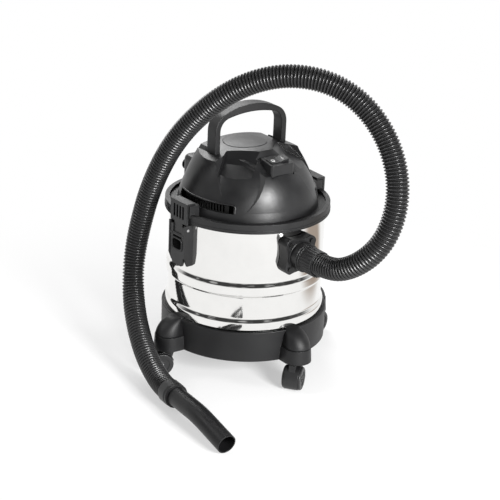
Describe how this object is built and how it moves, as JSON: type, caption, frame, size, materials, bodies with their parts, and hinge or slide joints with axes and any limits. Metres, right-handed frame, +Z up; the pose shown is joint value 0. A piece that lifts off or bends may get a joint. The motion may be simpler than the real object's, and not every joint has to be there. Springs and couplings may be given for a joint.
{
  "type": "wet and dry shop vacuum cleaner",
  "caption": "Wet and dry shop vacuum: mirror-polished steel drum on a wheeled base, domed black motor head with carry handle and side latches, ribbed hose and bent nozzle.",
  "frame": {"origin": "on the floor under the drum's axis", "axes": "+Z up, front with hose inlet and switch towards -Y, latches at +X and -X"},
  "size_m": [0.4766, 0.5611, 0.597],
  "materials": {
    "base_plastic": "satin textured",
    "hood_plastic": "satin",
    "wheel_plastic": "satin",
    "pin_steel": "bright",
    "drum_steel": "mirror polished stainless",
    "inlet_plastic": "satin textured",
    "screw_steel": "black",
    "seal_rubber": "matte",
    "cuff_plastic": "gloss",
    "hose_plastic": "gloss",
    "band_plastic": "satin",
    "nozzle_plastic": "satin",
    "lid_plastic": "satin textured",
    "dome_plastic": "satin textured",
    "panel_plastic": "satin",
    "grille_plastic": "matte",
    "switch_plastic": "satin",
    "rocker_plastic": "gloss",
    "handle_plastic": "satin textured",
    "latch_plastic": "satin",
    "shroud_plastic": "matte",
    "motor_steel": "zinc plated",
    "motor_core": "lacquered laminations",
    "fan_alloy": "plain",
    "cage_plastic": "matte",
    "filter_foam": "open-cell foam",
    "float_plastic": "matte"
  },
  "bodies": {
    "tank": {"base_dish": "base_plastic", "drum_shell": "drum_steel", "inlet_flange": "inlet_plastic", "inlet_gasket": "seal_rubber", "inlet_elbow": "inlet_plastic", "inlet_screws": "screw_steel", "hose_port_cuff": "cuff_plastic", "hose": "hose_plastic", "nozzle_cuff": "band_plastic", "nozzle": "nozzle_plastic", "lid_ring": "lid_plastic", "lid_seal": "seal_rubber", "dome_cover": "dome_plastic", "top_panel": "panel_plastic", "vent_grilles": "grille_plastic", "cable_gland": "seal_rubber", "head_screws": "pin_steel", "switch_housing": "switch_plastic", "handle_pins": "pin_steel", "latch_left_bracket": "latch_plastic", "latch_left_pivot_pins": "pin_steel", "latch_right_bracket": "latch_plastic", "latch_right_pivot_pins": "pin_steel", "latch_rivets": "pin_steel", "fan_shroud": "shroud_plastic", "motor_can": "motor_steel", "motor_field": "motor_core", "motor_bearings": "motor_steel", "filter_cage": "cage_plastic", "foam_sleeve": "filter_foam"},
    "caster_front_fork": {"caster_front_hood": "hood_plastic"},
    "caster_front_roll": {"caster_front_axle": "pin_steel", "caster_front_wheels": "wheel_plastic"},
    "caster_right_fork": {"caster_right_hood": "hood_plastic"},
    "caster_right_roll": {"caster_right_axle": "pin_steel", "caster_right_wheels": "wheel_plastic"},
    "caster_rear_fork": {"caster_rear_hood": "hood_plastic"},
    "caster_rear_roll": {"caster_rear_axle": "pin_steel", "caster_rear_wheels": "wheel_plastic"},
    "caster_left_fork": {"caster_left_hood": "hood_plastic"},
    "caster_left_roll": {"caster_left_axle": "pin_steel", "caster_left_wheels": "wheel_plastic"},
    "latch_left_lever": {"latch_left_lever": "latch_plastic", "latch_left_hook_pin": "pin_steel"},
    "latch_left_hook": {"latch_left_hook": "latch_plastic"},
    "latch_right_lever": {"latch_right_lever": "latch_plastic", "latch_right_hook_pin": "pin_steel"},
    "latch_right_hook": {"latch_right_hook": "latch_plastic"},
    "carry_handle": {"handle": "handle_plastic"},
    "rocker": {"switch_rocker": "rocker_plastic"},
    "rotor": {"motor_armature": "motor_core", "fan_impeller": "fan_alloy"},
    "float": {"float": "float_plastic"}
  },
  "joints": [
    {"name": "caster_front_swivel", "type": "hinge", "parent": "tank", "child": "caster_front_fork", "pos_m": [0, -0.166, 0.065], "axis": [0, 0, 1], "continuous": true},
    {"name": "caster_front_spin", "type": "hinge", "parent": "caster_front_fork", "child": "caster_front_roll", "pos_m": [-0.01118, -0.17442, 0.021], "axis": [-0.6018, 0.7986, 0], "continuous": true},
    {"name": "caster_right_swivel", "type": "hinge", "parent": "tank", "child": "caster_right_fork", "pos_m": [0.166, 0, 0.065], "axis": [0, 0, 1], "continuous": true},
    {"name": "caster_right_spin", "type": "hinge", "parent": "caster_right_fork", "child": "caster_right_roll", "pos_m": [0.17916, 0.00479, 0.021], "axis": [0.342, -0.9397, 0], "continuous": true},
    {"name": "caster_rear_swivel", "type": "hinge", "parent": "tank", "child": "caster_rear_fork", "pos_m": [0, 0.166, 0.065], "axis": [0, 0, 1], "continuous": true},
    {"name": "caster_rear_spin", "type": "hinge", "parent": "caster_rear_fork", "child": "caster_rear_roll", "pos_m": [0.01118, 0.17442, 0.021], "axis": [0.6018, -0.7986, 0], "continuous": true},
    {"name": "caster_left_swivel", "type": "hinge", "parent": "tank", "child": "caster_left_fork", "pos_m": [-0.166, 0, 0.065], "axis": [0, 0, 1], "continuous": true},
    {"name": "caster_left_spin", "type": "hinge", "parent": "caster_left_fork", "child": "caster_left_roll", "pos_m": [-0.17916, 0.00479, 0.021], "axis": [0.342, 0.9397, 0], "continuous": true},
    {"name": "latch_left_lever_turn", "type": "hinge", "parent": "tank", "child": "latch_left_lever", "pos_m": [-0.15089, -0.0058, 0.281], "axis": [-0.0384, 0.9993, 0], "range_deg": [0, 100]},
    {"name": "latch_left_hook_turn", "type": "hinge", "parent": "latch_left_lever", "child": "latch_left_hook", "pos_m": [-0.15389, -0.00591, 0.268], "axis": [-0.0384, 0.9993, 0], "range_deg": [-100, 0]},
    {"name": "latch_right_lever_turn", "type": "hinge", "parent": "tank", "child": "latch_right_lever", "pos_m": [0.15089, -0.0058, 0.281], "axis": [-0.0384, -0.9993, 0], "range_deg": [0, 100]},
    {"name": "latch_right_hook_turn", "type": "hinge", "parent": "latch_right_lever", "child": "latch_right_hook", "pos_m": [0.15389, -0.00591, 0.268], "axis": [-0.0384, -0.9993, 0], "range_deg": [-100, 0]},
    {"name": "handle_fold", "type": "hinge", "parent": "tank", "child": "carry_handle", "pos_m": [0, 0.01, 0.393], "axis": [-1, 0, 0], "range_deg": [0, 70]},
    {"name": "switch_rock", "type": "hinge", "parent": "tank", "child": "rocker", "pos_m": [0, -0.08155, 0.39928], "axis": [0, 0.9885, 0.151], "range_deg": [0, 16]},
    {"name": "rotor_spin", "type": "hinge", "parent": "tank", "child": "rotor", "pos_m": [0, 0, 0.35], "axis": [0, 0, 1], "continuous": true},
    {"name": "float_rise", "type": "slide", "parent": "tank", "child": "float", "axis": [0, 0, 1], "range_m": [0, 0.06]}
  ],
  "couplings": [
    {"joint": "latch_left_hook_turn", "follows": "latch_left_lever_turn", "ratio": -1},
    {"joint": "latch_right_hook_turn", "follows": "latch_right_lever_turn", "ratio": -1}
  ]
}
